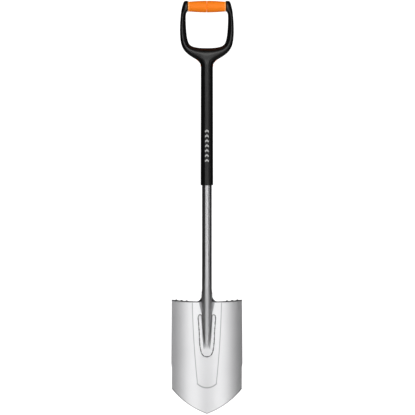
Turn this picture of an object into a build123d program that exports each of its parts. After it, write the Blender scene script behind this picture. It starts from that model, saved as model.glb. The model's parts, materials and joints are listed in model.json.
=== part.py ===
"""A D-handled digging spade with a pointed, dished blade, modelled piece by piece in millimetres.

Origin: the underside of the grip at its middle, where a wall hook carries the spade. +Z runs up the
shaft, +X across the blade to the right, and -Y is the front, the hollow side of the blade.
Heights named "up" are measured from the blade's tip, because that is how a spade is drawn.
"""
from build123d import *
import math
import os

# Driving dimensions
LENGTH = 1203.0  # tip of the blade to the top of the grip
GRIP_MID_R = 17.0  # the grip swells towards its middle
TUBE_R = 14.3  # steel shaft tube
TUBE_WALL = 1.3
SHEET = 2.0  # blade steel
BLADE_HALF_W = 102.2  # at the treads
LIFT_DEG = 7.5  # the blade leans forwards from the shaft by this much

# Levels above the tip
TREAD_MID_UP, TREAD_END_UP = 325.8, 331.3
LIFT_UP = 287.0  # where the blade's face crosses the shaft axis
COLLAR_TOP_UP = 372.0
SLEEVE_LOW_UP, SLEEVE_TOP_UP = 664.8, 1004.6
TUBE_TOP_UP = 1038.0
GRIP_AXIS_UP = LENGTH - GRIP_MID_R

# Blade
DISH_R = 260.0  # hollow across the blade
SWAGE = 1.0  # the stiffening tongue stands this far forward
GROUND_UP = 135.0  # the edges are ground from here down
GROUND_W, GROUND_DEEP = 5.0, 1.2
TREAD_DEPTH = 20.0
BEND_R = 2.5  # inside radius where the sheet turns over into a tread
CHANNEL_R = TUBE_R + 0.1
CHANNEL_DEG = 20.0  # slope of the channel's floor where it runs out into the face
CHANNEL_BEND_UP = 331.0
FLARE_R = 8.0  # the channel's lips roll into the face
SHOULDER_R = 14.0  # rise from tread to collar
SHOULDER_X = CHANNEL_R + SHEET + 0.9
RIB_X = (59.0, 74.0, 89.0)
RIB_R, RIB_SUNK = 4.6, 2.3

# Foot and welds
FLANGE = 1.6
WELD_W, WELD_H = 3.6, 2.6

# Handle
NECK_R = 17.8
SLEEVE_LOW_R = 18.4
SLEEVE_LIP = 2.8  # rounding of the sleeve's lower rim
TANG_LOW_UP = 985.0  # the core's tang fills the top of the tube
CORE_HALF_Y, CORE_INSET = 4.5, 4.0
STRIP_HALF_Y, STRIP_DEEP = 3.5, 5.5  # where the core shows along the handle's lower flanks
STRIP_LOW_UP, STRIP_HIGH_UP = 1012.0, 1060.0
LUG_PROUD, LUG_HALF_Y = 0.8, 3.2  # the core's lugs show through the sides of the neck
EYE_R = 15.9  # the eyes that hold the grip
EYE_X = 54.9
ARM_HALF_Y = 12.0
FRAME_ROUND = 4.0
BAR_R = 9.0
GRIP_END_R = 14.0
GRIP_RIM_W = 3.0
GRIP_SEAM = 0.8  # bevel where the two grip halves meet

TIP_Z = GRIP_MID_R * 2 - LENGTH
REACH = 90.0  # half the depth of every cutting prism
FACE_LENGTH = 2200.0  # the surface that the blade's face is part of runs on past the whole spade


def at(up):
    """Height in the part's frame of a level above the tip."""
    return TIP_Z + up


def front_view(edges):
    """Prism along Y of an outline whose right half is drawn by edges at (x, up)."""
    whole = Curve() + list(edges) + [mirror(edge, about=Plane.YZ) for edge in edges]
    outline = make_face(whole)
    return Pos(0, 0, TIP_Z) * extrude(Plane.XZ * outline, REACH, both=True)


def blade_cylinder(radius):
    """Everything in front of a surface parallel to the dished face."""
    lean = Pos(0, 0, at(LIFT_UP)) * Rot(X=-LIFT_DEG)
    return lean * Pos(0, -DISH_R, 0) * Cylinder(radius, FACE_LENGTH)


def channel(radius):
    """Round channel that holds the tube and runs out, at its lower end, into the face."""
    slope = math.radians(CHANNEL_DEG)
    bend, run = at(CHANNEL_BEND_UP), 75.0
    path = FilletPolyline(
        (0, 0, bend + 90.0),
        (0, 0, bend),
        (0, -run * math.sin(slope), bend - run * math.cos(slope)),
        radius=30.0,
    )
    return sweep(Plane(path @ 0, z_dir=path % 0) * Circle(radius), path=path)


def tongue():
    """Prism over the stiffening tongue pressed down the middle of the blade."""
    top, low, toe = TREAD_END_UP + 70.0, 87.0, 75.5
    wide, waist, narrow = 42.5, 37.5, 27.4
    return front_view([
        Line((0, top), (wide, top)),
        Line((wide, top), (wide, 318.0)),
        ThreePointArc((wide, 318.0), (waist, 205.0), (narrow, low)),
        ThreePointArc((narrow, low), (narrow * 0.55, toe + 0.28 * (low - toe)), (0, toe)),
    ])


def blade_outline(inset=0.0, past=0.0):
    """Prism over the blade. inset lowers the top edge; past carries the other edges outwards."""
    foot_x = SHOULDER_X + SHOULDER_R
    low, high = TREAD_MID_UP - inset, TREAD_END_UP - inset
    side_x = BLADE_HALF_W + past
    neck_x, neck_up = SHOULDER_X - inset, TREAD_MID_UP + SHOULDER_R
    turn = SHOULDER_R - (SHOULDER_R + inset) * math.sqrt(0.5)
    top_up = neck_up + (30.0 if past else 1.0)
    mid_x = (BLADE_HALF_W + foot_x) / 2
    mid_up = low + 0.35 * (high - low)
    edges = [
        Line((0, top_up), (neck_x, top_up)),
        Line((neck_x, top_up), (neck_x, neck_up)),
        ThreePointArc((neck_x, neck_up), (SHOULDER_X + turn, TREAD_MID_UP + turn), (foot_x, low)),
        ThreePointArc((foot_x, low), (mid_x, mid_up), (side_x, high)),
    ]
    if past:
        edges += [Line((side_x, high), (side_x, -past)), Line((side_x, -past), (0, -past))]
    else:
        wide, ground, corner = BLADE_HALF_W + 1.2, BLADE_HALF_W - 0.5, BLADE_HALF_W - 0.9
        edges += [
            Line((side_x, high), (wide, GROUND_UP + 12.0)),
            Line((wide, GROUND_UP + 12.0), (ground, GROUND_UP)),
            Line((ground, GROUND_UP), (corner, 73.0)),
            ThreePointArc((corner, 73.0), (55.5, 29.3), (0, 0)),
        ]
    return front_view(edges)


def front_space(back=0.0):
    """Everything in front of the steel, or of a surface that lies "back" behind its face.

    The channel's lips are rolled into the face.
    """
    space = blade_cylinder(DISH_R + back) + channel(CHANNEL_R + back)
    lips = [edge for edge in space.edges() if abs((edge @ 0.25).X) > 1.0
            and at(268) < edge.center().Z < at(420)]
    return space.fillet(FLARE_R - back, lips)


def rolled_block(inset, past, back, radius):
    """Solid behind the face and under the treads, with the edge between the two rolled."""
    block = blade_outline(inset, past) - front_space(back)
    treads = []
    for edge in block.edges():
        middle = edge @ 0.5
        on_face = abs(middle.Y - back - face_y(middle.X, middle.Z - TIP_Z)) < 0.3
        if on_face and edge.length > 5 and middle.Z > at(TREAD_MID_UP - inset - 0.5) \
                and 18 < abs(middle.X) < BLADE_HALF_W - 0.5:
            treads.append(edge)
    return block.fillet(radius, treads)


def face_y(x, up):
    """Depth of the blade's face at a point of its front view."""
    return math.tan(math.radians(LIFT_DEG)) * (up - LIFT_UP) - DISH_R + math.sqrt(DISH_R ** 2 - x * x)


def collar():
    """Half-round collar that stands up behind the tube, cut away towards its top."""
    low, high = at(TREAD_MID_UP - 4.0), at(COLLAR_TOP_UP)
    ring = Cylinder(CHANNEL_R + SHEET, high - low) - Cylinder(CHANNEL_R, high - low)
    ring = Pos(0, 0, (low + high) / 2) * ring
    side = make_face(Polyline(
        (5.0, low), (1.0, at(334.0)), (0.5, at(347.0)), (CHANNEL_R - 1.0, high), (40.0, high), (40.0, low),
        close=True))
    return ring & extrude(Plane.YZ * side, 40.0, both=True)


def behind_treads():
    """Everything behind the treads' back edges, which narrow towards the collar."""
    behind = Pos(0, 200.0, at(330.0)) * Box(400.0, 600.0, 110.0) - blade_cylinder(DISH_R + TREAD_DEPTH)
    saddle = make_face(Polyline(
        (-46.0, 26.0), (-12.0, 8.5), (12.0, 8.5), (46.0, 26.0), (46.0, 120.0), (-46.0, 120.0), close=True))
    saddle = Pos(0, 0, at(275.0)) * extrude(saddle, 110.0)
    return behind + (saddle - Pos(0, 0, at(330.0)) * Cylinder(CHANNEL_R + SHEET, 120.0))


def tread_up(x):
    """Height of a tread's top above the tip, at a distance x from the middle."""
    foot = SHOULDER_X + SHOULDER_R
    s = (x - foot) / (BLADE_HALF_W - foot)
    return TREAD_MID_UP + (TREAD_END_UP - TREAD_MID_UP) * (0.4 * s + 0.6 * s * s)


def tread_beads(radius):
    """Round-ended beads across both treads, which keep a boot from slipping."""
    beads = []
    for x in [side * x for side in (-1, 1) for x in RIB_X]:
        up = tread_up(abs(x)) - RIB_SUNK
        y_low, y_high = face_y(x, up) + 8.0, face_y(x, up) + TREAD_DEPTH - 5.5
        beads.append(Pos(x, (y_low + y_high) / 2, at(up)) * Rot(X=90) * Cylinder(radius, y_high - y_low))
        beads += [Pos(x, y, at(up)) * Sphere(radius) for y in (y_low, y_high)]
    return beads


def field():
    """The part of the front view outside the tongue and below the roll of the treads."""
    return blade_outline(inset=BEND_R + SHEET + 1.0, past=12.0) - tongue() \
        - Pos(0, 0, at(340.0)) * Box(60.0, 200.0, 60.0)


def make_blade():
    """Pressed sheet: a dished face, a channel and collar for the tube, and treads turned backwards."""
    sheet = rolled_block(0.0, 0.0, 0.0, BEND_R + SHEET) - behind_treads()
    sheet -= rolled_block(SHEET, 12.0, SHEET, BEND_R)
    sheet += collar()
    for bead in tread_beads(RIB_R):
        sheet += bead
    for bead in tread_beads(RIB_R - SHEET):
        sheet -= bead
    around = field()
    sheet -= around & (blade_cylinder(DISH_R + SWAGE) - blade_cylinder(DISH_R - 1.0))
    behind = blade_cylinder(DISH_R + SHEET + SWAGE) - blade_cylinder(DISH_R + SHEET - 0.2)
    sheet += around & behind & blade_outline()
    return ground_edges(sheet)


def ground_edges(sheet):
    """Bevel the back of the blade along its cutting edges."""
    edges = []
    for edge in sheet.edges():
        middle = edge @ 0.5
        up = middle.Z - TIP_Z
        if up < 72.0 and edge.length > 50 and middle.Y - face_y(middle.X, up) > SHEET + 0.9:
            edges.append(edge)
    return sheet.chamfer(GROUND_DEEP, GROUND_W, edges)


def foot_outline(grow=0.0):
    """Prism over the tube's flattened foot, a narrow U with rounded ears."""
    return front_view([
        Line((0, 287.0 + grow), (19.0, 287.0 + grow)),
        ThreePointArc((19.0, 287.0 + grow), (23.0 + 0.7 * grow, 284.8 + 0.7 * grow), (24.4 + grow, 281.0)),
        ThreePointArc((24.4 + grow, 281.0), (22.2 + grow, 244.0), (20.5 + grow, 206.0)),
        ThreePointArc((20.5 + grow, 206.0), (18.9 + grow, 192.5), (16.5 + grow, 180.0)),
        ThreePointArc((16.5 + grow, 180.0), (11.8 + 0.7 * grow, 170.5 - 0.7 * grow), (0, 165.6 - grow)),
    ])


def make_tube():
    """Steel tube, mitred along the blade's face, with its flattened foot lying on the face."""
    top, low = at(TUBE_TOP_UP), at(150.0)
    stock = Pos(0, 0, (top + low) / 2) * Cylinder(TUBE_R, top - low)
    bore = Pos(0, 0, (top + low) / 2) * Cylinder(TUBE_R - TUBE_WALL, top - low)
    foot = foot_outline() & (blade_cylinder(DISH_R) - blade_cylinder(DISH_R - FLANGE))
    tube = (stock & blade_cylinder(DISH_R)) + foot
    upper = stock & Pos(0, 0, at(287.0 + 500.0)) * Box(60.0, 60.0, 1000.0) & front_space()
    return tube + upper - (bore & (blade_cylinder(DISH_R - FLANGE) + Pos(0, 0, at(800.0)) * Cylinder(20.0, 920.0)))


def make_foot_weld(tube):
    """Bead laid around the flattened foot, on the face of the blade, with a stepped round crest."""
    bead = None
    for half_w, height in ((0.5, 0.55), (0.42, 0.8), (0.28, 1.0)):
        band = foot_outline(WELD_W * half_w) - foot_outline(-WELD_W * half_w)
        band &= blade_cylinder(DISH_R) - blade_cylinder(DISH_R - WELD_H * height)
        bead = band if bead is None else bead + band
    bore = Pos(0, 0, at(250.0)) * Cylinder(TUBE_R - 0.5, 200.0)
    return bead - tube - bore


def make_collar_weld():
    """Bead that closes the collar's top edge on the tube."""
    high = at(COLLAR_TOP_UP)
    ring = Cylinder(CHANNEL_R + SHEET - 0.2, 60.0) - Cylinder(TUBE_R, 60.0)
    edge_y = CHANNEL_R - 1.0
    side = make_face(Polyline(
        (0.5, at(347.0)), (edge_y, high), (20.0, high), (20.0, high + 1.8), (edge_y - 1.0, high + 1.8),
        (0.2, at(350.2)), close=True))
    bead = (Pos(0, 0, at(360.0)) * ring) & extrude(Plane.YZ * side, 40.0, both=True)
    return bead


def make_sleeve():
    """Moulded sleeve over the tube, from its rounded lower rim to the handle's neck."""
    low, high = at(SLEEVE_LOW_UP), at(SLEEVE_TOP_UP)
    lip = SLEEVE_LIP
    section = make_face(Curve() + [
        Line((TUBE_R, low), (SLEEVE_LOW_R - lip, low)),
        ThreePointArc((SLEEVE_LOW_R - lip, low), (SLEEVE_LOW_R - 0.293 * lip, low + 0.293 * lip),
                      (SLEEVE_LOW_R, low + lip)),
        Line((SLEEVE_LOW_R, low + lip), (NECK_R, high)),
        Line((NECK_R, high), (TUBE_R, high)),
        Line((TUBE_R, high), (TUBE_R, low)),
    ])
    return revolve(Plane.XZ * section, Axis.Z)


def beside(edge, distance, count=12):
    """Smooth edge that runs at a steady distance to the left of another."""
    points = []
    for i in range(count + 1):
        along = edge % (i / count)
        points.append(edge @ (i / count) + Vector(-along.Y, along.X) * distance)
    return Spline(*points)


def handle_outlines(inset=0.0):
    """Faces in the front view: the whole handle up to its eyes, and the hand's opening.

    A positive inset moves both outlines into the moulding.
    """
    outer = Spline((12.0, 1008.0), (24.5, 1026.0), (41.3, 1039.5), (61.5, 1054.0), (73.1, 1074.0),
                   (77.5, 1118.0), (74.9, 1160.0), (71.0, GRIP_AXIS_UP), tangents=((0.3, 1), (-0.2, 1)))
    inner = Spline((0, 1064.0), (30.0, 1066.0), (47.0, 1071.6), (57.0, 1088.0), (62.0, 1112.0),
                   (61.9, 1150.0), (59.7, 1164.0), (EYE_X, 1171.0), tangents=((1, 0), (-1, 0.7)))
    if inset:
        outer, inner = beside(outer, inset), beside(inner, -inset)
    faces = []
    for curve, top in ((outer, (outer @ 1).Y), (inner, 1215.0)):
        start, end = curve @ 0, curve @ 1
        edges = [curve, Line(end, (end.X, top)) if top > end.Y else None, Line((end.X, top), (0, top)),
                 Line((0, start.Y), start) if start.X > 0 else None]
        edges = [edge for edge in edges if edge is not None]
        faces.append(make_face(Curve() + edges + [mirror(edge, about=Plane.YZ) for edge in edges]))
    return faces


def stood_up(face, half_depth):
    """A front-view face stood up and thickened to both sides."""
    return Pos(0, 0, TIP_Z) * extrude(Plane.XZ * face, half_depth, both=True)


def handle_eye(side):
    """Round boss that holds one end of the grip."""
    x_out = 71.2
    section = make_face(Curve() + [
        Line((EYE_X, 0), (EYE_X, EYE_R)),
        Line((EYE_X, EYE_R), (64.8, EYE_R)),
        ThreePointArc((64.8, EYE_R), (69.0, 13.6), (x_out, 8.0)),
        Line((x_out, 8.0), (x_out, 0)),
        Line((x_out, 0), (EYE_X, 0)),
    ])
    eye = revolve(section, Axis.X)
    if side < 0:
        eye = mirror(eye, about=Plane.YZ)
    return Pos(0, 0, at(GRIP_AXIS_UP)) * eye


def handle_body():
    """Outside of the whole handle: the D with its eyes, and the round neck that runs into it."""
    whole, opening = handle_outlines()
    body = stood_up(whole, ARM_HALF_Y) - stood_up(opening, 50.0)
    rims = [edge for edge in body.edges() if edge.length > 20 and abs((edge @ 0.3).Y) > ARM_HALF_Y - 0.1
            and edge.center().Z > at(1010.0)]
    body = body.fillet(FRAME_ROUND, rims)
    neck = make_face(Curve() + [
        Line((0, SLEEVE_TOP_UP), (NECK_R, SLEEVE_TOP_UP)),
        Line((NECK_R, SLEEVE_TOP_UP), (NECK_R, 1010.0)),
        Spline((NECK_R, 1010.0), (16.8, 1034.0), (11.5, 1054.0), (0, 1061.0), tangents=((0, 1), (-1, 0))),
        Line((0, 1061.0), (0, SLEEVE_TOP_UP)),
    ])
    body += Pos(0, 0, TIP_Z) * revolve(Plane.XZ * neck, Axis.Z)
    return body + handle_eye(-1) + handle_eye(1)


def make_core():
    """Stiff inner moulding: a tang in the tube, a thin D, the bar under the grip, and bare flanks."""
    whole, opening = handle_outlines(CORE_INSET)
    skeleton = stood_up(whole, CORE_HALF_Y) - stood_up(opening, 50.0)
    flank = stood_up(handle_outlines()[0], STRIP_HALF_Y) - stood_up(handle_outlines(STRIP_DEEP)[0], 50.0)
    middle = (STRIP_LOW_UP + STRIP_HIGH_UP) / 2
    flank &= Pos(0, 0, at(middle)) * Box(200.0, 40.0, STRIP_HIGH_UP - STRIP_LOW_UP)
    socket = Pos(0, 0, at(TUBE_TOP_UP - 50.0)) * Cylinder(TUBE_R, 100.0)
    tang = Pos(0, 0, at((TANG_LOW_UP + TUBE_TOP_UP + 8.0) / 2)) * \
        Cylinder(TUBE_R - TUBE_WALL, TUBE_TOP_UP + 8.0 - TANG_LOW_UP)
    bar = Pos(0, 0, at(GRIP_AXIS_UP)) * Rot(Y=90) * Cylinder(BAR_R, 2 * 66.0)
    lugs = Pos(0, 0, at(1020.0)) * Box(2 * (NECK_R + LUG_PROUD), 2 * LUG_HALF_Y, 18.0)
    return (skeleton + flank + lugs - socket) + tang + bar


def make_frame(core):
    """Moulded cover of the handle, with the core and the tube's end inside it."""
    socket = Pos(0, 0, at(TUBE_TOP_UP - 50.0)) * Cylinder(TUBE_R, 100.0)
    return handle_body() - socket - core


def make_grip_half(side):
    """Half of the barrel-shaped grip, with a rim at the frame and a bevel at the seam."""
    seam, rim = GRIP_SEAM, GRIP_RIM_W
    mid_r, end_r, end = GRIP_MID_R, GRIP_END_R, EYE_X
    section = make_face(Curve() + [
        Line((0, BAR_R), (0, mid_r - seam)),
        Line((0, mid_r - seam), (seam, mid_r)),
        ThreePointArc((seam, mid_r), ((end - rim) / 2, mid_r - 0.7), (end - rim, end_r - 0.1)),
        Line((end - rim, end_r - 0.1), (end - rim + 0.5, end_r + 0.5)),
        Line((end - rim + 0.5, end_r + 0.5), (end, end_r + 0.5)),
        Line((end, end_r + 0.5), (end, BAR_R)),
        Line((end, BAR_R), (0, BAR_R)),
    ])
    half = revolve(section, Axis.X)
    if side < 0:
        half = mirror(half, about=Plane.YZ)
    return Pos(0, 0, at(GRIP_AXIS_UP)) * half


def main():
    os.makedirs("parts", exist_ok=True)
    tube = make_tube()
    core = make_core()
    pieces = {
        "blade": make_blade(),
        "shaft_tube": tube,
        "foot_weld": make_foot_weld(tube),
        "collar_weld": make_collar_weld(),
        "shaft_sleeve": make_sleeve(),
        "handle_core": core,
        "handle_frame": make_frame(core),
        "grip_half_left": make_grip_half(-1),
        "grip_half_right": make_grip_half(1),
    }
    for name, piece in pieces.items():
        solids = piece.solids()
        print(name, len(solids), round(piece.volume))
        export_step(piece, f"parts/{name}.step")


main()
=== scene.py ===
# %% [markdown]
# # A digging spade, piece by piece
#
# This notebook dresses a digging spade: a pointed steel blade, a tube shaft, a moulded sleeve and a
# D-shaped handle with a barrel grip. The exact shapes come from a CAD frame, which is loaded first
# and never moved. New pieces are modelled over it with the same operators that a modeller uses by
# hand, and every surface gets a material made of nodes.

# %% Load the frame
import bpy
import json
import math
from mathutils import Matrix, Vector


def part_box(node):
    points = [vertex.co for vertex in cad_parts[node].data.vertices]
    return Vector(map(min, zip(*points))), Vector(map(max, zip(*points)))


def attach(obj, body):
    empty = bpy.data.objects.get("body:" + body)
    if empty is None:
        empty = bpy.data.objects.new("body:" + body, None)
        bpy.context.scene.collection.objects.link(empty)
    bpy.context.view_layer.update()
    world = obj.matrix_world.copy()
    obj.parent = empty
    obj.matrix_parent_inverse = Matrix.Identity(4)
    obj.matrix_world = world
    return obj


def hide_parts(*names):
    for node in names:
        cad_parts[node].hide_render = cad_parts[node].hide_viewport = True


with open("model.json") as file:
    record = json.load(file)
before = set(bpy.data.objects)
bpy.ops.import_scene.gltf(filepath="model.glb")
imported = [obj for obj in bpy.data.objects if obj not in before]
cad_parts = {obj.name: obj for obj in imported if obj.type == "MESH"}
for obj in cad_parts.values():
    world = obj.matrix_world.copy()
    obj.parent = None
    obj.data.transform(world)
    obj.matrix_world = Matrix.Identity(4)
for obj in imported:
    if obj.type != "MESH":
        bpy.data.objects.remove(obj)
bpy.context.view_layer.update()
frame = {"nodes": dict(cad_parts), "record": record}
nodes = frame["nodes"]

# %% [markdown]
# The spade's own ruler is the height above the tip of the blade. The frame's origin is higher up,
# under the grip, so one small function turns a height above the tip, in millimetres, into a height
# in the frame, in metres.

# %% Heights above the tip
MM = 0.001
TIP_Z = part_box("blade")[0][2]
SPADE_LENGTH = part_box("grip_half_left")[1][2] - TIP_Z


def up(height):
    """A height above the tip, in millimetres, as a height in the frame."""
    return TIP_Z + height * MM


print("length", round(SPADE_LENGTH, 4), "tip at", round(TIP_Z, 4))

# %% [markdown]
# ## Effects that several materials share
#
# A shader node group is built once and placed in each material with its own values. Each group
# gives out only values that change over the surface.

# %% A helper for node groups
def new_group(name, inputs, outputs):
    """A shader node group with named sockets. Returns the tree and its two end nodes."""
    tree = bpy.data.node_groups.new(name, "ShaderNodeTree")
    for socket, kind, value in inputs:
        made = tree.interface.new_socket(name=socket, in_out="INPUT", socket_type=kind)
        if value is not None:
            made.default_value = value
    for socket, kind in outputs:
        tree.interface.new_socket(name=socket, in_out="OUTPUT", socket_type=kind)
    start = tree.nodes.new("NodeGroupInput")
    end = tree.nodes.new("NodeGroupOutput")
    return tree, start, end


def add(tree, kind, **settings):
    """A new node with its properties set."""
    node = tree.nodes.new(kind)
    for key, value in settings.items():
        setattr(node, key, value)
    return node


def wire(tree, *pairs):
    """Links written as (from socket, to socket)."""
    for source, target in pairs:
        tree.links.new(source, target)


def math_node(tree, operation, a, b=None, clamp=False):
    """A Math node whose inputs are sockets or numbers. Returns its output."""
    node = add(tree, "ShaderNodeMath", operation=operation, use_clamp=clamp)
    for index, value in enumerate((a, b)):
        if value is None:
            continue
        if hasattr(value, "links"):
            tree.links.new(value, node.inputs[index])
        else:
            node.inputs[index].default_value = value
    return node.outputs[0]


def ramp_node(tree, factor, low, high, start=0.0, end=1.0):
    """A Map Range node that turns low..high into start..end. Returns its output."""
    node = add(tree, "ShaderNodeMapRange")
    for name, value in (("From Min", low), ("From Max", high), ("To Min", start), ("To Max", end)):
        node.inputs[name].default_value = value
    tree.links.new(factor, node.inputs["Value"])
    return node.outputs["Result"]


# %% [markdown]
# Rolled and drawn steel keeps a fine grain along the way it was worked. A noise texture that is
# squeezed across the grain and stretched along it gives such streaks.

# %% Streaked grain
def build_grain():
    tree, start, end = new_group(
        "streaked_grain",
        [("Vector", "NodeSocketVector", None), ("Across", "NodeSocketFloat", 900.0),
         ("Along", "NodeSocketFloat", 12.0)],
        [("Value", "NodeSocketFloat")])
    spread = add(tree, "ShaderNodeCombineXYZ")
    squeeze = add(tree, "ShaderNodeVectorMath", operation="MULTIPLY")
    noise = add(tree, "ShaderNodeTexNoise")
    noise.inputs["Scale"].default_value = 1.0
    noise.inputs["Detail"].default_value = 4.0
    noise.inputs["Roughness"].default_value = 0.6
    wire(tree, (start.outputs["Across"], spread.inputs[0]), (start.outputs["Across"], spread.inputs[1]),
         (start.outputs["Along"], spread.inputs[2]), (start.outputs["Vector"], squeeze.inputs[0]),
         (spread.outputs[0], squeeze.inputs[1]), (squeeze.outputs[0], noise.inputs["Vector"]),
         (noise.outputs["Fac"], end.inputs["Value"]))
    return tree


# %% [markdown]
# Moulded plastic is never a mirror: the tool it was moulded in is etched, so the surface has a very
# fine, even leather. Two sizes of noise do it, one for the etch and one for slow unevenness.

# %% Moulded skin
def build_skin():
    tree, start, end = new_group(
        "moulded_skin",
        [("Vector", "NodeSocketVector", None), ("Etch", "NodeSocketFloat", 1600.0),
         ("Drift", "NodeSocketFloat", 18.0)],
        [("Etch", "NodeSocketFloat"), ("Drift", "NodeSocketFloat")])
    etch = add(tree, "ShaderNodeTexNoise")
    etch.inputs["Detail"].default_value = 2.0
    drift = add(tree, "ShaderNodeTexNoise")
    drift.inputs["Detail"].default_value = 3.0
    wire(tree, (start.outputs["Vector"], etch.inputs["Vector"]),
         (start.outputs["Etch"], etch.inputs["Scale"]),
         (start.outputs["Vector"], drift.inputs["Vector"]),
         (start.outputs["Drift"], drift.inputs["Scale"]),
         (etch.outputs["Fac"], end.inputs["Etch"]), (drift.outputs["Fac"], end.inputs["Drift"]))
    return tree


GRAIN, SKIN = build_grain(), build_skin()
print("shared effects:", [group.name for group in bpy.data.node_groups])

# %% [markdown]
# ## Materials
#
# Every material starts the same way: a Principled shader, and the object's own coordinates, which
# stay put however the spade is turned.

# %% A helper for materials
def new_material(name, color, metallic, roughness):
    """A material with its tree, its Principled node and the Object coordinates."""
    made = bpy.data.materials.new(name)
    made.use_nodes = True
    tree = made.node_tree
    tree.nodes.clear()
    shader = add(tree, "ShaderNodeBsdfPrincipled")
    output = add(tree, "ShaderNodeOutputMaterial")
    place = add(tree, "ShaderNodeTexCoord")
    shader.inputs["Base Color"].default_value = (*color, 1.0)
    shader.inputs["Metallic"].default_value = metallic
    shader.inputs["Roughness"].default_value = roughness
    wire(tree, (shader.outputs[0], output.inputs["Surface"]))
    return made, tree, shader, place.outputs["Object"]


def group_node(tree, group, vector, **values):
    """A shared effect placed in a material."""
    node = add(tree, "ShaderNodeGroup", node_tree=group)
    wire(tree, (vector, node.inputs["Vector"]))
    for key, value in values.items():
        node.inputs[key].default_value = value
    return node


def bump_from(tree, shader, height, strength, distance):
    """Feeds a height to the shader's normal."""
    bump = add(tree, "ShaderNodeBump")
    bump.inputs["Strength"].default_value = strength
    bump.inputs["Distance"].default_value = distance
    wire(tree, (height, bump.inputs["Height"]), (bump.outputs[0], shader.inputs["Normal"]))
    return bump


def mix_color(tree, factor, a, b):
    """A Mix node for colours. Returns its output."""
    node = add(tree, "ShaderNodeMix", data_type="RGBA")
    for name, value in (("Factor", factor), ("A", a), ("B", b)):
        socket = [s for s in node.inputs if s.name == name and s.enabled][0]
        if hasattr(value, "links"):
            tree.links.new(value, socket)
        else:
            socket.default_value = (*value, 1.0) if isinstance(value, tuple) else value
    return [s for s in node.outputs if s.enabled][0]


# %% [markdown]
# A pressed or ground line on the blade follows an arc. The distance from a point of the blade to that
# arc, in the front view, gives a soft mask along the line: painted shade on the pressed step of the
# tongue, and the bare steel of the ground point. One group does it, given the arc's middle and radius.

# %% A mask along an arc of the front view
def build_arc_line():
    tree, start, end = new_group(
        "line_along_an_arc",
        [("Vector", "NodeSocketVector", None), ("Middle X", "NodeSocketFloat", 0.0),
         ("Middle Z", "NodeSocketFloat", 0.0), ("Radius", "NodeSocketFloat", 1.0),
         ("Width", "NodeSocketFloat", 0.001), ("Low", "NodeSocketFloat", -10.0),
         ("High", "NodeSocketFloat", 10.0)],
        [("Mask", "NodeSocketFloat")])
    split = add(tree, "ShaderNodeSeparateXYZ")
    wire(tree, (start.outputs["Vector"], split.inputs[0]))
    side = math_node(tree, "ABSOLUTE", split.outputs[0])
    across = math_node(tree, "SUBTRACT", side, start.outputs["Middle X"])
    above = math_node(tree, "SUBTRACT", split.outputs[2], start.outputs["Middle Z"])
    square = math_node(tree, "ADD", math_node(tree, "MULTIPLY", across, across),
                       math_node(tree, "MULTIPLY", above, above))
    off = math_node(tree, "SUBTRACT", math_node(tree, "SQRT", square), start.outputs["Radius"])
    share = math_node(tree, "DIVIDE", math_node(tree, "ABSOLUTE", off), start.outputs["Width"])
    near = math_node(tree, "SUBTRACT", 1.0, share, clamp=True)
    over_low = math_node(tree, "GREATER_THAN", split.outputs[2], start.outputs["Low"])
    under_high = math_node(tree, "LESS_THAN", split.outputs[2], start.outputs["High"])
    kept = math_node(tree, "MULTIPLY", near, math_node(tree, "MULTIPLY", over_low, under_high))
    wire(tree, (kept, end.inputs["Mask"]))
    return tree


ARC_LINE = build_arc_line()
print("arc line inputs:", [socket.name for socket in ARC_LINE.interface.items_tree])

# %% [markdown]
# Painted shade: the corners where the collar meets the treads are painted near black, and the flanks of
# the channel grey, where the steel turns away from the light. This group masks both, from the height
# above the tip and the distance from the shaft's axis. A third mask follows the rolled edge of the
# treads, for a grey line of painted shade.

# %% Painted shade by the collar, the channel and the treads
CORNER_UP, CORNER_TALL, CORNER_FADE = 326.5, 14.0, 12.0  # a dark corner's foot, height and fade
CORNER_FROM, CORNER_TO = 14.6, 32.0  # its reach across, in mm from the axis
WEDGE_TOE_UP, WEDGE_TOP_UP = 288.0, 326.0
WEDGE_TOE_OUT, WEDGE_TOP_OUT = 16.5, 24.5  # half widths of the grey wedge at its toe and its top
TREAD_UP, TREAD_RISE = 325.8, 5.5  # a tread's inner end, and how far it climbs to its outer end
TREAD_FROM, TREAD_TO = 31.3, 102.2  # where the climb begins and ends, in mm from the axis


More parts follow.
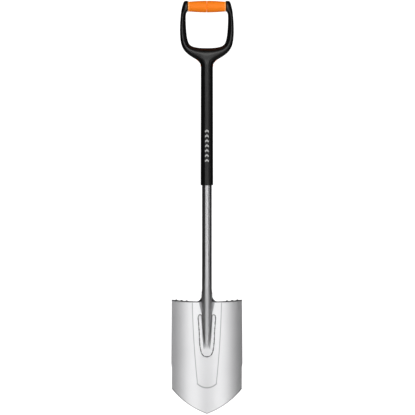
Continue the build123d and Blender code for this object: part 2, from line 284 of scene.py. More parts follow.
def build_painted_shade_masks():
    tree, start, end = new_group(
        "painted_shade_masks", [("Vector", "NodeSocketVector", None)],
        [("Corner", "NodeSocketFloat"), ("Wedge", "NodeSocketFloat"), ("Tread", "NodeSocketFloat")])
    split = add(tree, "ShaderNodeSeparateXYZ")
    wire(tree, (start.outputs["Vector"], split.inputs[0]))
    out = math_node(tree, "ABSOLUTE", split.outputs[0])
    above = ramp_node(tree, split.outputs[2], up(CORNER_UP - 2.5), up(CORNER_UP))
    beside = ramp_node(tree, out, CORNER_FROM * MM, (CORNER_FROM + 1.6) * MM)
    close = ramp_node(tree, out, (CORNER_TO + 5.0) * MM, CORNER_TO * MM)
    corner_top = CORNER_UP + CORNER_TALL
    under = ramp_node(tree, split.outputs[2], up(corner_top + CORNER_FADE), up(corner_top))
    # The corner mask: painted shade, near black where the collar meets the treads.
    corner = math_node(tree, "MULTIPLY", math_node(tree, "MULTIPLY", above, beside),
                       math_node(tree, "MULTIPLY", close, under))
    # The wedge mask: painted shade, grey down the flanks of the channel.
    reach = ramp_node(tree, split.outputs[2], up(WEDGE_TOE_UP), up(WEDGE_TOP_UP),
                      WEDGE_TOE_OUT * MM, WEDGE_TOP_OUT * MM)
    inside = math_node(tree, "MULTIPLY", math_node(tree, "SUBTRACT", reach, out), 450.0, clamp=True)
    below = ramp_node(tree, split.outputs[2], up(WEDGE_TOP_UP + 12.0), up(WEDGE_TOP_UP + 2.0))
    over = ramp_node(tree, split.outputs[2], up(WEDGE_TOE_UP - 6.0), up(WEDGE_TOE_UP + 8.0))
    wedge = math_node(tree, "MULTIPLY", math_node(tree, "MULTIPLY", inside, below), over)
    # The tread mask: a line of painted shade along the treads' rolled edge.
    share = ramp_node(tree, out, TREAD_FROM * MM, TREAD_TO * MM)
    steeper = math_node(tree, "ADD", math_node(tree, "MULTIPLY", share, 0.6), 0.4)
    rise = math_node(tree, "MULTIPLY", math_node(tree, "MULTIPLY", share, steeper), TREAD_RISE * MM)
    level = math_node(tree, "SUBTRACT", split.outputs[2], rise)
    tread = math_node(tree, "MULTIPLY", ramp_node(tree, level, up(TREAD_UP - 4.2), up(TREAD_UP - 2.6)),
                      ramp_node(tree, out, 0.019, 0.024))
    wire(tree, (corner, end.inputs["Corner"]), (wedge, end.inputs["Wedge"]), (tread, end.inputs["Tread"]))
    return tree


PAINTED_SHADE_MASKS = build_painted_shade_masks()
print("heat masks made")

# %% [markdown]
# The blade is pressed from rolled sheet and sprayed with a clear, matte lacquer, so it is bright but has
# no sharp reflections. The grain runs down the blade. Along the outline of the stiffening tongue a grey
# line of painted shade marks the pressed step, and the ground edge of the point is bare and darker. The
# painted shade of the collar's corners, the channel and the treads comes on top.

# %% Lacquered blade steel
TONGUE_SIDE = dict(middle=(-2769.2, 385.8), radius=2812.5, low=86.0, high=322.0)
TONGUE_TOE = dict(middle=(0.0, 113.9), radius=38.4, low=70.0, high=87.5)
POINT_EDGE = dict(middle=(-78.1, 215.2), radius=228.9, low=-5.0, high=76.0)


def arc_mask(tree, place, arc, width):
    """The mask of a line along one of the blade's arcs. Sizes are in millimetres above the tip."""
    node = group_node(tree, ARC_LINE, place)
    for name, value in (("Middle X", arc["middle"][0] * MM), ("Middle Z", up(arc["middle"][1])),
                        ("Radius", arc["radius"] * MM), ("Width", width * MM),
                        ("Low", up(arc["low"])), ("High", up(arc["high"]))):
        node.inputs[name].default_value = value
    return node.outputs["Mask"]


def blade_steel():
    made, tree, shader, place = new_material("blade_steel", (0.80, 0.81, 0.83), 1.0, 0.38)
    grain = group_node(tree, GRAIN, place, Across=700.0, Along=9.0)
    cloud = add(tree, "ShaderNodeTexNoise")
    cloud.inputs["Scale"].default_value = 14.0
    cloud.inputs["Detail"].default_value = 3.0
    wire(tree, (place, cloud.inputs["Vector"]))
    # Painted shade along the pressed step of the tongue, darkened towards grey.
    painted_step_shade = math_node(tree, "MAXIMUM", arc_mask(tree, place, TONGUE_SIDE, 1.9),
                       arc_mask(tree, place, TONGUE_TOE, 2.8))
    ground = arc_mask(tree, place, POINT_EDGE, 3.4)
    painted_shade = group_node(tree, PAINTED_SHADE_MASKS, place)
    tone = mix_color(tree, cloud.outputs["Fac"], (0.83, 0.83, 0.84), (0.90, 0.90, 0.91))
    tone = mix_color(tree, math_node(tree, "MULTIPLY", painted_step_shade, 0.85), tone, (0.30, 0.30, 0.31))
    tone = mix_color(tree, math_node(tree, "MULTIPLY", ground, 0.9), tone, (0.20, 0.20, 0.21))
    # Painted shade: grey down the channel, darker along the treads' rolled edge.
    wedge = math_node(tree, "MULTIPLY", painted_shade.outputs["Wedge"], 0.8)
    tone = mix_color(tree, wedge, tone, (0.20, 0.20, 0.21))
    tread = math_node(tree, "MULTIPLY", painted_shade.outputs["Tread"], 0.75)
    tone = mix_color(tree, tread, tone, (0.12, 0.12, 0.125))
    # Painted shade: the collar's corners near black, less metallic and rougher, so they stay dark.
    tone = mix_color(tree, painted_shade.outputs["Corner"], tone, (0.008, 0.008, 0.009))
    wire(tree, (tone, shader.inputs["Base Color"]))
    clean = math_node(tree, "SUBTRACT", 1.0, painted_shade.outputs["Corner"])
    wire(tree, (clean, shader.inputs["Metallic"]),
         (math_node(tree, "MULTIPLY", clean, 0.5), shader.inputs["Specular IOR Level"]))
    rough = ramp_node(tree, grain.outputs["Value"], 0.3, 0.7, 0.35, 0.41)
    rough = math_node(tree, "ADD", rough, math_node(tree, "MULTIPLY", painted_shade.outputs["Corner"], 0.4))
    wire(tree, (rough, shader.inputs["Roughness"]))
    bump_from(tree, shader, grain.outputs["Value"], 0.05, 0.0002)
    return made


# %% [markdown]
# The shaft is drawn tube, smoother than the blade and a little darker. Its flattened foot was ground
# bright before it was welded, and lost its drawn polish there. A band of painted shade lies along either
# side of the foot's cone, where the channel is in shade, and narrows towards the toe. Work scuffs the
# tube more the nearer it is to the blade, and the soil rubs the foot itself a little smoother again.

# %% Drawn tube steel
FOOT_TOP_UP, FOOT_FADE, FOOT_TOE_UP = 262.0, 60.0, 186.0
BAND_OUTER = ((184.0, 8.2), (222.0, 13.2), (290.0, 17.0))  # height above the tip, distance from the axis
BAND_INNER = ((200.0, 7.4), (284.0, 12.8))
BAND_TOP_UP, BAND_FADE = 292.0, 10.0
WORN_FROM_UP, WORN_TO_UP, WORN = 430.0, 330.0, 0.17  # where the scuffs begin and are full, and how rough
RUBBED_FROM_UP, RUBBED_TO_UP, RUBBED = 300.0, 215.0, 0.09  # the same for the smoother foot


def tube_steel():
    made, tree, shader, place = new_material("tube_steel", (0.62, 0.63, 0.65), 1.0, 0.26)
    grain = group_node(tree, GRAIN, place, Across=900.0, Along=4.0)
    split = add(tree, "ShaderNodeSeparateXYZ")
    wire(tree, (place, split.inputs[0]))
    height = split.outputs[2]
    off = math_node(tree, "ABSOLUTE", split.outputs[0])
    bright = ramp_node(tree, height, up(FOOT_TOP_UP + FOOT_FADE), up(FOOT_TOP_UP))
    beside = ramp_node(tree, off, 0.006, 0.013)
    toe = ramp_node(tree, height, up(FOOT_TOE_UP + 10.0), up(FOOT_TOE_UP))
    flat = math_node(tree, "MULTIPLY", bright, math_node(tree, "MAXIMUM", beside, toe))
    tone = mix_color(tree, flat, (0.60, 0.60, 0.61), (0.90, 0.90, 0.91))
    # Painted shade: a dark band down either side of the foot's cone, narrowing towards the toe.
    (low, start), (knee, middle), (high, end) = BAND_OUTER
    outer = math_node(tree, "ADD", ramp_node(tree, height, up(low), up(knee), start * MM, middle * MM),
                      ramp_node(tree, height, up(knee), up(high), 0.0, (end - middle) * MM))
    (low, start), (high, end) = BAND_INNER
    inner = ramp_node(tree, height, up(low), up(high), start * MM, end * MM)
    within = ramp_node(tree, math_node(tree, "SUBTRACT", off, outer), 0.0006, -0.0006)
    beyond = ramp_node(tree, math_node(tree, "SUBTRACT", off, inner), -0.0012, 0.0008)
    painted_channel_shade = math_node(tree, "MULTIPLY", math_node(tree, "MULTIPLY", within, beyond),
                     math_node(tree, "SUBTRACT", 1.0, toe))
    channel_shade_end = ramp_node(tree, height, up(BAND_TOP_UP + BAND_FADE), up(BAND_TOP_UP))
    painted_channel_shade = math_node(tree, "MULTIPLY", painted_channel_shade, channel_shade_end)
    tone = mix_color(tree, math_node(tree, "MULTIPLY", painted_channel_shade, 0.88), tone, (0.16, 0.16, 0.165))
    wire(tree, (tone, shader.inputs["Base Color"]))
    rough = ramp_node(tree, grain.outputs["Value"], 0.3, 0.7, 0.24, 0.32)
    worn = ramp_node(tree, height, up(WORN_FROM_UP), up(WORN_TO_UP), 0.0, WORN)
    rubbed = ramp_node(tree, height, up(RUBBED_FROM_UP), up(RUBBED_TO_UP), 0.0, RUBBED)
    rough = math_node(tree, "SUBTRACT", math_node(tree, "ADD", rough, worn), rubbed)
    wire(tree, (rough, shader.inputs["Roughness"]))
    bump_from(tree, shader, grain.outputs["Value"], 0.04, 0.0001)
    return made


# %% [markdown]
# A weld bead is a row of frozen ripples, dull grey where the slag was brushed off and dark between
# the ripples.

# %% Weld metal
def weld_metal():
    made, tree, shader, place = new_material("weld_metal", (0.40, 0.40, 0.42), 1.0, 0.42)
    scale = add(tree, "ShaderNodeTexNoise")
    scale.inputs["Scale"].default_value = 420.0
    wire(tree, (place, scale.inputs["Vector"]))
    tone = mix_color(tree, scale.outputs["Fac"], (0.10, 0.10, 0.10), (0.34, 0.34, 0.35))
    wire(tree, (tone, shader.inputs["Base Color"]))
    bump_from(tree, shader, scale.outputs["Fac"], 0.3, 0.0003)
    return made


# %% [markdown]
# The sleeve and the handle's cover are moulded in black, with a fine etch that breaks up the light.

# %% Black moulding
BLACK = (0.003, 0.003, 0.0033)


def black_moulding(name, etch_strength):
    made, tree, shader, place = new_material(name, BLACK, 0.0, 0.32)
    skin = group_node(tree, SKIN, place, Etch=1500.0, Drift=22.0)
    rough = ramp_node(tree, skin.outputs["Drift"], 0.3, 0.7, 0.28, 0.35)
    wire(tree, (rough, shader.inputs["Roughness"]))
    bump_from(tree, shader, skin.outputs["Etch"], etch_strength, 0.0002)
    return made


# %% [markdown]
# A row of plain chevrons is printed in white on the front of the sleeve. The mask is made from the
# coordinates alone: a saw wave up the sleeve, bent by the distance from the middle, and cut to a
# window.

# %% Printed chevrons
CHEVRON_UP, CHEVRON_PITCH, CHEVRONS = 735.8, 14.3, 7  # foot of the row, spacing and number
CHEVRON_HALF, CHEVRON_THICK = 5.6, 0.42  # half width in mm, and the share of the spacing that is white


def print_chevrons(made):
    tree = made.node_tree
    shader = [node for node in tree.nodes if node.type == "BSDF_PRINCIPLED"][0]
    place = [node for node in tree.nodes if node.type == "TEX_COORD"][0].outputs["Object"]
    split = add(tree, "ShaderNodeSeparateXYZ")
    wire(tree, (place, split.inputs[0]))
    off = math_node(tree, "ABSOLUTE", split.outputs[0])
    level = math_node(tree, "ADD", split.outputs[2], math_node(tree, "MULTIPLY", off, 0.7))
    climbed = math_node(tree, "SUBTRACT", level, up(CHEVRON_UP))
    row = math_node(tree, "DIVIDE", climbed, CHEVRON_PITCH * MM)
    share = math_node(tree, "FRACT", row)
    stripe = math_node(tree, "MULTIPLY", ramp_node(tree, share, 0.0, 0.03),
                       ramp_node(tree, share, CHEVRON_THICK, CHEVRON_THICK - 0.03))
    window = math_node(tree, "MULTIPLY", math_node(tree, "GREATER_THAN", row, 0.0),
                       math_node(tree, "LESS_THAN", row, float(CHEVRONS)))
    narrow = ramp_node(tree, off, CHEVRON_HALF * MM, (CHEVRON_HALF - 0.3) * MM)
    front = math_node(tree, "LESS_THAN", split.outputs[1], 0.0)
    ink = math_node(tree, "MULTIPLY", math_node(tree, "MULTIPLY", stripe, window),
                    math_node(tree, "MULTIPLY", narrow, front))
    tone = mix_color(tree, ink, BLACK, (0.62, 0.62, 0.61))
    wire(tree, (tone, shader.inputs["Base Color"]))
    return made


# %% [markdown]
# The grip and the handle's inner moulding are orange. Both glow a little as painted light, faintly on the
# inner moulding and more on the grip, so that even their shaded side stays bright. The rims at the grip's
# two ends are painted paler, a painted highlight on their rounded edge.

# %% Orange moulding
RIM_FROM, RIM_TO = 0.0508, 0.0520  # where the grip's rims begin, from its middle


def orange_moulding(name, color, roughness, glow, rim_highlight):
    made, tree, shader, place = new_material(name, color, 0.0, roughness)
    shader.inputs["Specular IOR Level"].default_value = 0.22
    # Painted light: the emission makes the moulding glow, though it is no lamp.
    shader.inputs["Emission Strength"].default_value = glow
    skin = group_node(tree, SKIN, place, Etch=1200.0, Drift=30.0)
    rough = ramp_node(tree, skin.outputs["Drift"], 0.3, 0.7, roughness - 0.04, roughness + 0.05)
    wire(tree, (rough, shader.inputs["Roughness"]))
    deeper = tuple(channel * 0.9 for channel in color)
    tone = mix_color(tree, skin.outputs["Drift"], deeper, color)
    split = add(tree, "ShaderNodeSeparateXYZ")
    wire(tree, (place, split.inputs[0]))
    # Painted highlight: the rims at the grip's two ends are paler.
    edge = ramp_node(tree, math_node(tree, "ABSOLUTE", split.outputs[0]), RIM_FROM, RIM_TO)
    tone = mix_color(tree, edge, tone, rim_highlight)
    wire(tree, (tone, shader.inputs["Base Color"]), (tone, shader.inputs["Emission Color"]))
    bump_from(tree, shader, skin.outputs["Etch"], 0.12, 0.0002)
    return made


# Each moulding's glow is painted light, and the grip's rim colour a painted highlight.
CORE_COLOR, GRIP_COLOR, RIM_HIGHLIGHT_COLOR = (0.75, 0.16, 0.01), (1.0, 0.23, 0.010), (1.0, 0.40, 0.10)
MATERIALS = {
    "blade_steel": blade_steel(),
    "tube_steel": tube_steel(),
    "weld_metal": weld_metal(),
    "sleeve_black": print_chevrons(black_moulding("sleeve_black", 0.10)),
    "frame_black": black_moulding("frame_black", 0.14),
    "core_orange": orange_moulding("core_orange", CORE_COLOR, 0.5, 0.05, CORE_COLOR),
    "grip_orange": orange_moulding("grip_orange", GRIP_COLOR, 0.55, 0.32, RIM_HIGHLIGHT_COLOR),
}
print("materials:", sorted(MATERIALS))

# %% Put each finish on its pieces
for row in frame["record"]["subparts"]:
    piece = nodes[row["node"]]
    piece.data.materials.clear()
    piece.data.materials.append(MATERIALS[row["material_slot"]])
    print(row["node"], "wears", row["material_slot"])

# %% [markdown]
# ## Pieces modelled over the frame
#
# A few helpers keep the steps below short: one to start with nothing selected, one to apply the
# modifiers of a finished piece, and one to give the piece its finish, its body and the CAD node that
# it stands for.

# %% Helpers for modelling
def nothing_selected():
    if bpy.context.object and bpy.context.object.mode != "OBJECT":
        bpy.ops.object.mode_set(mode="OBJECT")
    bpy.ops.object.select_all(action="DESELECT")


def only(piece):
    """Makes one object the selected and active one."""
    nothing_selected()
    piece.select_set(True)
    bpy.context.view_layer.objects.active = piece


def apply_all(piece):
    """Applies a piece's modifiers in order."""
    only(piece)
    for modifier in list(piece.modifiers):
        bpy.ops.object.modifier_apply(modifier=modifier.name)


def turn_outwards(piece):
    """Merges doubles and points every face outwards."""
    only(piece)
    bpy.ops.object.mode_set(mode="EDIT")
    bpy.ops.mesh.select_all(action="SELECT")
    bpy.ops.mesh.remove_doubles(threshold=0.00001)
    bpy.ops.mesh.normals_make_consistent(inside=False)
    bpy.ops.object.mode_set(mode="OBJECT")


def finish_piece(piece, name, slot, *stands_for):
    """Names a finished piece, puts its finish on, and hands it to the frame."""
    only(piece)
    bpy.ops.object.transform_apply(location=True, rotation=True, scale=True)
    piece.name = name
    piece.data.materials.clear()
    piece.data.materials.append(MATERIALS[slot])
    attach(piece, "root")
    if stands_for:
        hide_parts(*stands_for)
    print(name, len(piece.data.polygons), "faces")


# %% [markdown]
# ## The handle's cover
#
# The cover is one moulding: a neck that flares into a bar, two arms with a soft ridge along their
# front, and an eye at the top of each arm that holds the grip. It could be cut from a block, but its
# ridge fades in and out, and that is what a subdivision surface is good at. The handle is the same
# left and right, front and back, so a quarter of it is enough: a sheet with one row of faces from the
# opening's edge to the ridge and on to the outer edge, which mirrors and subdivision complete.
#
# Each station below crosses the arm once. It gives the opening's edge, the ridge and the outer edge as
# (across, height above the tip), how far the ridge stands forward, how flat the inner side is, and
# how far forward the outer edge is. The outer edge of the first three lies on the round neck.

# %% Stations along the arm
STATIONS = [
    ((0.0, 1065.5), (0.0, 1047.6), (0.0, 1027.0), 16.4, 0.0, 17.6),
    ((13.0, 1065.8), (13.2, 1047.9), (9.8, 1027.2), 16.1, 0.0, 15.7),
    ((25.0, 1066.6), (26.8, 1049.2), (19.8, 1028.2), 15.5, 0.0, 10.3),
    ((36.0, 1068.5), (39.8, 1052.4), (30.6, 1030.0), 14.7, 0.0, 0.0),
    ((43.5, 1071.0), (50.6, 1056.8), (44.8, 1037.8), 14.0, 0.0, 0.0),
    ((49.6, 1075.0), (60.2, 1064.4), (60.7, 1049.6), 13.6, 0.0, 0.0),
    ((53.8, 1081.6), (66.8, 1075.6), (71.8, 1063.3), 13.4, 0.0, 0.0),
    ((56.8, 1092.5), (71.2, 1091.2), (77.9, 1083.4), 13.4, 0.0, 0.0),
    ((59.3, 1110.0), (73.4, 1111.0), (79.4, 1109.0), 13.4, 0.0, 0.0),
    ((60.7, 1131.0), (73.4, 1133.0), (79.2, 1134.0), 13.4, 0.0, 0.0),
    ((61.3, 1150.0), (71.8, 1153.0), (77.5, 1155.0), 13.6, 0.0, 0.0),
    ((61.1, 1163.4), (70.2, 1166.4), (76.4, 1168.0), 14.2, 0.1, 0.0),
    ((58.8, 1169.2), (66.8, 1173.2), (75.3, 1176.0), 15.2, 0.5, 0.0),
    ((54.9, 1171.6), (63.4, 1178.8), (74.2, 1182.2), 16.6, 1.0, 0.0),
    ((54.9, 1181.0), (61.8, 1186.0), (72.6, 1189.0), 16.8, 1.0, 0.0),
    ((54.9, 1190.5), (60.8, 1192.2), (70.9, 1194.6), 15.4, 1.0, 0.0),
    ((54.9, 1196.5), (60.2, 1197.6), (69.2, 1198.6), 12.6, 1.0, 0.0),
    ((54.9, 1201.2), (59.4, 1202.2), (66.6, 1201.8), 7.0, 1.0, 0.0),
    ((55.2, 1202.6), (59.0, 1203.6), (63.6, 1202.8), 0.0, 1.0, 0.0),
]
NECK_ROWS = ((1018.0, 18.6), (1010.5, 18.55), (1004.6, 18.55))  # height and radius
NECK_TURNS = (0.0, 30.0, 60.0, 90.0)  # degrees from the front
NECK_BELOW_UP, NECK_REACH = 1032.0, 32.0  # the neck starts from the points under and within


def across_station(inner, ridge, outer, depth, flat, outer_depth):
    """Six points of a station, from the opening's edge over the ridge to the outer edge."""
    def between(a, b, share):
        return tuple(p + (q - p) * share for p, q in zip(a, b))

    bevel = 0.10 * (1.0 - flat)
    shoulder = 0.62 * (1.0 - flat) + 0.12 * flat
    flank = between(ridge, outer, 0.74)
    flank_depth = outer_depth + (depth - outer_depth) * (0.62 if outer_depth == 0.0 else 0.45)
    return [(inner, 0.0), (between(inner, ridge, bevel), (0.30 + 0.18 * flat) * depth),
            (between(inner, ridge, shoulder), (0.82 + 0.06 * flat) * depth), (ridge, depth),
            (flank, flank_depth), (outer, outer_depth)]


print(len(STATIONS), "stations,", len(NECK_ROWS), "neck rows")

# %% The quarter sheet
nothing_selected()
ROWS = 6
bpy.ops.mesh.primitive_grid_add(x_subdivisions=len(STATIONS) - 1, y_subdivisions=ROWS - 1, size=2.0)
cover = bpy.context.object
places = [across_station(*station) for station in STATIONS]
for vertex in cover.data.vertices:
    column = round((vertex.co.x + 1.0) / 2.0 * (len(STATIONS) - 1))
    row = round((vertex.co.y + 1.0) / 2.0 * (ROWS - 1))
    (x, height), forward = places[column][row]
    vertex.co = (x * MM, -forward * MM, up(height))
print("sheet of", len(cover.data.polygons), "faces")

# %% The neck, extruded from the lower edge of the first stations
def lower_edge(piece, height, reach):
    """Selects the edges whose two ends are among the sheet's lowest points near the shaft."""
    ends = {vertex.index for vertex in piece.data.vertices
            if vertex.co.z < up(height) and vertex.co.x < reach * MM}
    for edge in piece.data.edges:
        edge.select = all(index in ends for index in edge.vertices)
    for vertex in piece.data.vertices:
        vertex.select = vertex.index in ends


only(cover)
bpy.ops.object.mode_set(mode="EDIT")
bpy.ops.mesh.select_all(action="DESELECT")
bpy.ops.mesh.select_mode(type="EDGE")
bpy.ops.object.mode_set(mode="OBJECT")
lower_edge(cover, NECK_BELOW_UP, NECK_REACH)
for height, radius in NECK_ROWS:
    bpy.ops.object.mode_set(mode="EDIT")
    bpy.ops.mesh.extrude_region_move(TRANSFORM_OT_translate={"value": (0.0, 0.0, -0.004)})
    bpy.ops.object.mode_set(mode="OBJECT")
    ring = sorted((vertex for vertex in cover.data.vertices if vertex.select), key=lambda v: v.co.x)
    for vertex, angle in zip(ring, NECK_TURNS):
        turn = math.radians(angle)
        vertex.co = (radius * math.sin(turn) * MM, -radius * math.cos(turn) * MM, up(height))
    print("neck row at", height, "with", len(ring), "points")

# %% Mirror it twice and smooth it
mirror = cover.modifiers.new("halves", "MIRROR")
mirror.use_axis = (True, True, False)
mirror.use_mirror_merge = True
mirror.merge_threshold = 0.00005
smooth = cover.modifiers.new("smooth", "SUBSURF")
smooth.levels = smooth.render_levels = 3
apply_all(cover)
bpy.ops.object.mode_set(mode="EDIT")
bpy.ops.mesh.select_mode(type="VERT")
bpy.ops.mesh.select_all(action="DESELECT")
bpy.ops.mesh.select_non_manifold()
bpy.ops.mesh.edge_face_add()
bpy.ops.object.mode_set(mode="OBJECT")
turn_outwards(cover)
bpy.ops.object.shade_smooth_by_angle(angle=math.radians(50.0))
finish_piece(cover, "handle_cover", "frame_black", "handle_frame")

# %% [markdown]
# ## The grip
#
# The grip is a barrel in two halves on the bar inside. Each half has a rim against the eye, a narrow
# groove beside the rim, and a bevel where the halves meet. A round piece like this is turned: a ring
# is added at the middle and extruded along the bar, and each new ring is scaled to its radius.

# %% One half, turned from a ring
HALF_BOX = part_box("grip_half_right")
GRIP_AXIS = Vector((0.0, 0.0, HALF_BOX[0][2] * 0.5 + HALF_BOX[1][2] * 0.5))
GRIP_END = HALF_BOX[1][0] / MM
# Along the bar from the middle, and radius.
TURNING = [(0.16, 14.2), (0.18, 16.2), (0.5, 16.75), (1.2, 16.95), (6.0, 17.0),
           (18.0, 16.75), (30.0, 16.15), (40.0, 15.4), (GRIP_END - 4.4, 14.65),
           (GRIP_END - 3.9, 14.1), (GRIP_END - 3.5, 14.1), (GRIP_END - 3.1, 14.75),
           (GRIP_END - 1.2, 15.1), (GRIP_END - 0.4, 14.9), (GRIP_END, 14.3)]

nothing_selected()
first_x, first_r = TURNING[0]
bpy.ops.mesh.primitive_circle_add(vertices=64, radius=first_r * MM, fill_type="NGON",
                                  location=GRIP_AXIS + Vector((first_x * MM, 0.0, 0.0)),
                                  rotation=(0.0, math.radians(90.0), 0.0))
right_half = bpy.context.object
bpy.ops.object.transform_apply(location=True, rotation=True, scale=True)
bpy.ops.object.mode_set(mode="EDIT")
bpy.ops.mesh.select_mode(type="FACE")
bpy.ops.mesh.select_all(action="SELECT")
for (x0, r0), (x1, r1) in zip(TURNING, TURNING[1:]):
    bpy.ops.mesh.extrude_region_move(TRANSFORM_OT_translate={"value": ((x1 - x0) * MM, 0.0, 0.0)})
    bpy.ops.transform.resize(value=(1.0, r1 / r0, r1 / r0), center_override=GRIP_AXIS)
bpy.ops.object.mode_set(mode="OBJECT")
print("turned half has", len(right_half.data.polygons), "faces")

# %% Close, smooth and mirror the grip
def smooth_turned(piece):
    turn_outwards(piece)
    bpy.ops.object.shade_smooth_by_angle(angle=math.radians(40.0))


only(right_half)
bpy.ops.object.duplicate()
left_half = bpy.context.object
left_half.scale = (-1.0, 1.0, 1.0)
bpy.ops.object.transform_apply(location=False, rotation=False, scale=True)
for piece, side in ((right_half, "right"), (left_half, "left")):
    smooth_turned(piece)
    finish_piece(piece, f"grip_{side}", "grip_orange", f"grip_half_{side}")

# %% [markdown]
# ## Weld beads
#
# A bead of weld is a chain of overlapping ripples, one for each moment that the torch paused. One
# ripple is a flattened ball. An Array modifier repeats it, its width wanders a little as a hand does,
# a Curve modifier lays the chain along the joint, and a voxel remesh fuses the ripples into one skin.

# %% One bead along a path
RIPPLE_PITCH = 1.7  # mm from ripple to ripple


def smooth_path(name, points):
    """A curve through points given in metres."""
    line = bpy.data.curves.new(name, "CURVE")
    line.dimensions = "3D"
    line.resolution_u = 12
    spline = line.splines.new("BEZIER")
    spline.bezier_points.add(len(points) - 1)
    for knot, place in zip(spline.bezier_points, points):
        knot.co = place
        knot.handle_left_type = knot.handle_right_type = "AUTO"
    holder = bpy.data.objects.new(name, line)
    bpy.context.scene.collection.objects.link(holder)
    return holder, spline.calc_length()


def lay_bead(name, points, half_width, wander, voxel):
    """A rippled bead along a path. Sizes are in millimetres."""
    nothing_selected()
    bpy.ops.mesh.primitive_uv_sphere_add(segments=12, ring_count=8, radius=half_width * MM,
                                         location=(0.0, 0.0, 0.0))
    bead = bpy.context.object
    bead.scale = (0.72, 1.0, 0.9)
    bpy.ops.object.transform_apply(location=False, rotation=False, scale=True)
    path, length = smooth_path(f"{name}_path", points)
    chain = bead.modifiers.new("ripples", "ARRAY")
    chain.use_relative_offset = False
    chain.use_constant_offset = True
    chain.constant_offset_displace = (RIPPLE_PITCH * MM, 0.0, 0.0)
    chain.count = int(length / (RIPPLE_PITCH * MM))
    apply_all(bead)
    for vertex in bead.data.vertices:
        along = vertex.co.x / MM
        swell = 1.0 + wander * (math.sin(along * 0.41) + 0.6 * math.sin(along * 0.97 + 1.3))
        stray = wander * 1.1 * math.sin(along * 0.23 + 0.7)
        vertex.co.y = vertex.co.y * swell + stray * MM
        vertex.co.z = vertex.co.z * (0.5 + 0.5 * swell)
    bend = bead.modifiers.new("joint", "CURVE")
    bend.object = path
    bend.deform_axis = "POS_X"
    fuse = bead.modifiers.new("fused", "REMESH")
    fuse.mode = "VOXEL"
    fuse.voxel_size = voxel * MM
    fuse.use_smooth_shade = True
    apply_all(bead)
    bpy.data.objects.remove(path)
    turn_outwards(bead)
    return bead


print("bead tools ready")

# %% The bead around the foot
DISH_R, LIFT_DEG, LIFT_UP = 260.0, 7.5, 287.0  # the blade's dish, its lean, and where it crosses the axis


def face_y(x, height):
    """How far back the blade's face is at a point of its front view, in millimetres."""
    lean = math.tan(math.radians(LIFT_DEG)) * (height - LIFT_UP)
    return lean - DISH_R + math.sqrt(DISH_R ** 2 - x * x)


FOOT_BEAD = [(15.2, 285.0), (19.2, 287.2), (23.4, 285.6), (25.0, 280.5), (23.9, 262.0), (22.6, 244.0),
             (21.7, 225.0), (20.9, 206.0), (19.2, 192.0), (16.6, 180.0), (11.5, 170.3), (6.0, 166.6)]
FOOT_TOE = (0.0, 165.4)
round_foot = [(-x, height) for x, height in FOOT_BEAD] + [FOOT_TOE] + FOOT_BEAD[::-1]
route = [(x * MM, (face_y(x, height) - 0.5) * MM, up(height)) for x, height in round_foot]
foot_bead = lay_bead("foot_bead", route, 1.75, 0.20, 0.35)
finish_piece(foot_bead, "foot_bead", "weld_metal", "foot_weld")

# %% The bead around the collar's top edge
COLLAR_R = 14.9  # a little over the tube's radius
climb = [(1.0, 348.6), (5.0, 356.2), (9.0, 363.8), (12.0, 369.6)]
side = [(math.sqrt(COLLAR_R ** 2 - y * y), y, height) for y, height in climb]
back = [(6.2, math.sqrt(COLLAR_R ** 2 - 6.2 ** 2), 372.4), (0.0, COLLAR_R, 372.8)]
right = side + back
route = [(x * MM, y * MM, up(h)) for x, y, h in right] + \
    [(-x * MM, y * MM, up(h)) for x, y, h in right[-2::-1]]
collar_bead = lay_bead("collar_bead", route, 1.1, 0.06, 0.3)
finish_piece(collar_bead, "collar_bead", "weld_metal", "collar_weld")

# %% [markdown]
# ## Studio
#
# The spade hangs in front of a white studio. A floor lies well below the tip. The floor and the world
# look white to the camera but give little light themselves. Two tall soft boxes stand either side of
# the camera, so that round pieces get a bright band down the middle and fall off to grey, and the
# dished blade is brightest either side of its middle. Two more stand behind for the spade's back, and
# three smaller ones light the right edge, the top and the grip.

# %% Floor and world
FLOOR_DROP, FLOOR_R = 0.9, 14.0  # in metres


def white_to_the_camera(tree, lit, shown, output):
    """Gives the camera one shader and every other ray another."""
    ray = add(tree, "ShaderNodeLightPath")
    choice = add(tree, "ShaderNodeMixShader")
    wire(tree, (ray.outputs["Is Camera Ray"], choice.inputs[0]), (lit.outputs[0], choice.inputs[1]),
         (shown.outputs[0], choice.inputs[2]), (choice.outputs[0], output.inputs["Surface"]))


nothing_selected()
bpy.ops.mesh.primitive_circle_add(vertices=96, radius=FLOOR_R, fill_type="NGON",
                                  location=(0.0, 0.0, TIP_Z - FLOOR_DROP))
floor = bpy.context.object
floor.name = "studio_floor"
floor_paint = bpy.data.materials.new("studio_floor")
floor_paint.use_nodes = True
paint = floor_paint.node_tree
paint.nodes.clear()
matte = add(paint, "ShaderNodeBsdfDiffuse")
matte.inputs["Color"].default_value = (0.5, 0.5, 0.5, 1.0)
glow = add(paint, "ShaderNodeEmission")
glow.inputs["Strength"].default_value = 1.0
white_to_the_camera(paint, matte, glow, add(paint, "ShaderNodeOutputMaterial"))
floor.data.materials.append(floor_paint)

world = bpy.data.worlds.new("studio")
bpy.context.scene.world = world
world.use_nodes = True
air = world.node_tree
air.nodes.clear()
fill = add(air, "ShaderNodeBackground")
fill.inputs["Color"].default_value = (1.0, 1.0, 1.0, 1.0)
fill.inputs["Strength"].default_value = 0.025
backdrop = add(air, "ShaderNodeBackground")
backdrop.inputs["Color"].default_value = (1.0, 1.0, 1.0, 1.0)
backdrop.inputs["Strength"].default_value = 1.2
white_to_the_camera(air, fill, backdrop, add(air, "ShaderNodeOutputWorld"))
print("floor", FLOOR_DROP, "m under the tip")

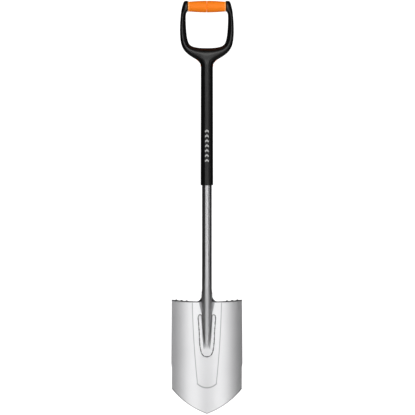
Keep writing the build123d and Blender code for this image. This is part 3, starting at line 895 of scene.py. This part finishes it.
# %% Soft boxes
def soft_box(name, place, aim, size, power):
    """A rectangular light that faces a point."""
    light = bpy.data.lights.new(name, "AREA")
    light.shape = "RECTANGLE"
    light.size, light.size_y = size
    light.energy = power
    holder = bpy.data.objects.new(name, light)
    bpy.context.scene.collection.objects.link(holder)
    holder.location = place
    holder.visible_camera = False
    holder.rotation_euler = (Vector(aim) - Vector(place)).to_track_quat("-Z", "Y").to_euler()
    return holder


MIDDLE_Z = up(600.1)


def around(angle, distance, height):
    """A place at an angle from straight in front, seen from above, at a height over the middle."""
    turn = math.radians(angle)
    return (distance * math.sin(turn), -distance * math.cos(turn), MIDDLE_Z + height)


AIM = (0.0, 0.0, MIDDLE_Z)
soft_box("left_box", around(-17.0, 3.0, 0.35), AIM, (1.15, 3.4), 18.8)
soft_box("right_box", around(17.2, 3.0, 0.35), AIM, (1.15, 3.4), 19.0)
for side in (-1, 1):
    soft_box(f"back_box_{side}", around(side * 163.0, 3.0, 0.35), AIM, (1.1, 3.4), 15.0)
soft_box("right_strip", around(55.0, 3.0, 0.2), AIM, (0.35, 3.0), 4.0)
soft_box("top_light", (0.0, -1.5, 1.3), (0.0, 0.0, 0.0), (2.2, 1.3), 5.0)
soft_box("grip_light", (0.0, -1.25, 0.42), tuple(GRIP_AXIS), (1.2, 0.7), 5.5)
print("soft boxes placed")

# %% [markdown]
# ## Camera
#
# A long lens, level with the middle of the spade, keeps the shaft straight and the scale even.

# %% Camera
CAMERA_DISTANCE, CAMERA_SIDE = 12.0, 0.0018
VIEW_HEIGHT, SENSOR = 1.2104, 36.0  # what the picture shows, in metres, and the sensor's width, in mm
lens = bpy.data.cameras.new("camera")
lens.sensor_width = SENSOR
lens.lens = SENSOR * CAMERA_DISTANCE / VIEW_HEIGHT
camera = bpy.data.objects.new("camera", lens)
bpy.context.scene.collection.objects.link(camera)
camera.location = (CAMERA_SIDE, -CAMERA_DISTANCE, MIDDLE_Z)
camera.rotation_euler = (math.radians(90.0), 0.0, 0.0)
bpy.context.scene.camera = camera
bpy.context.scene.view_settings.view_transform = "Standard"
print("lens", round(lens.lens, 1), "mm at", CAMERA_DISTANCE, "m")
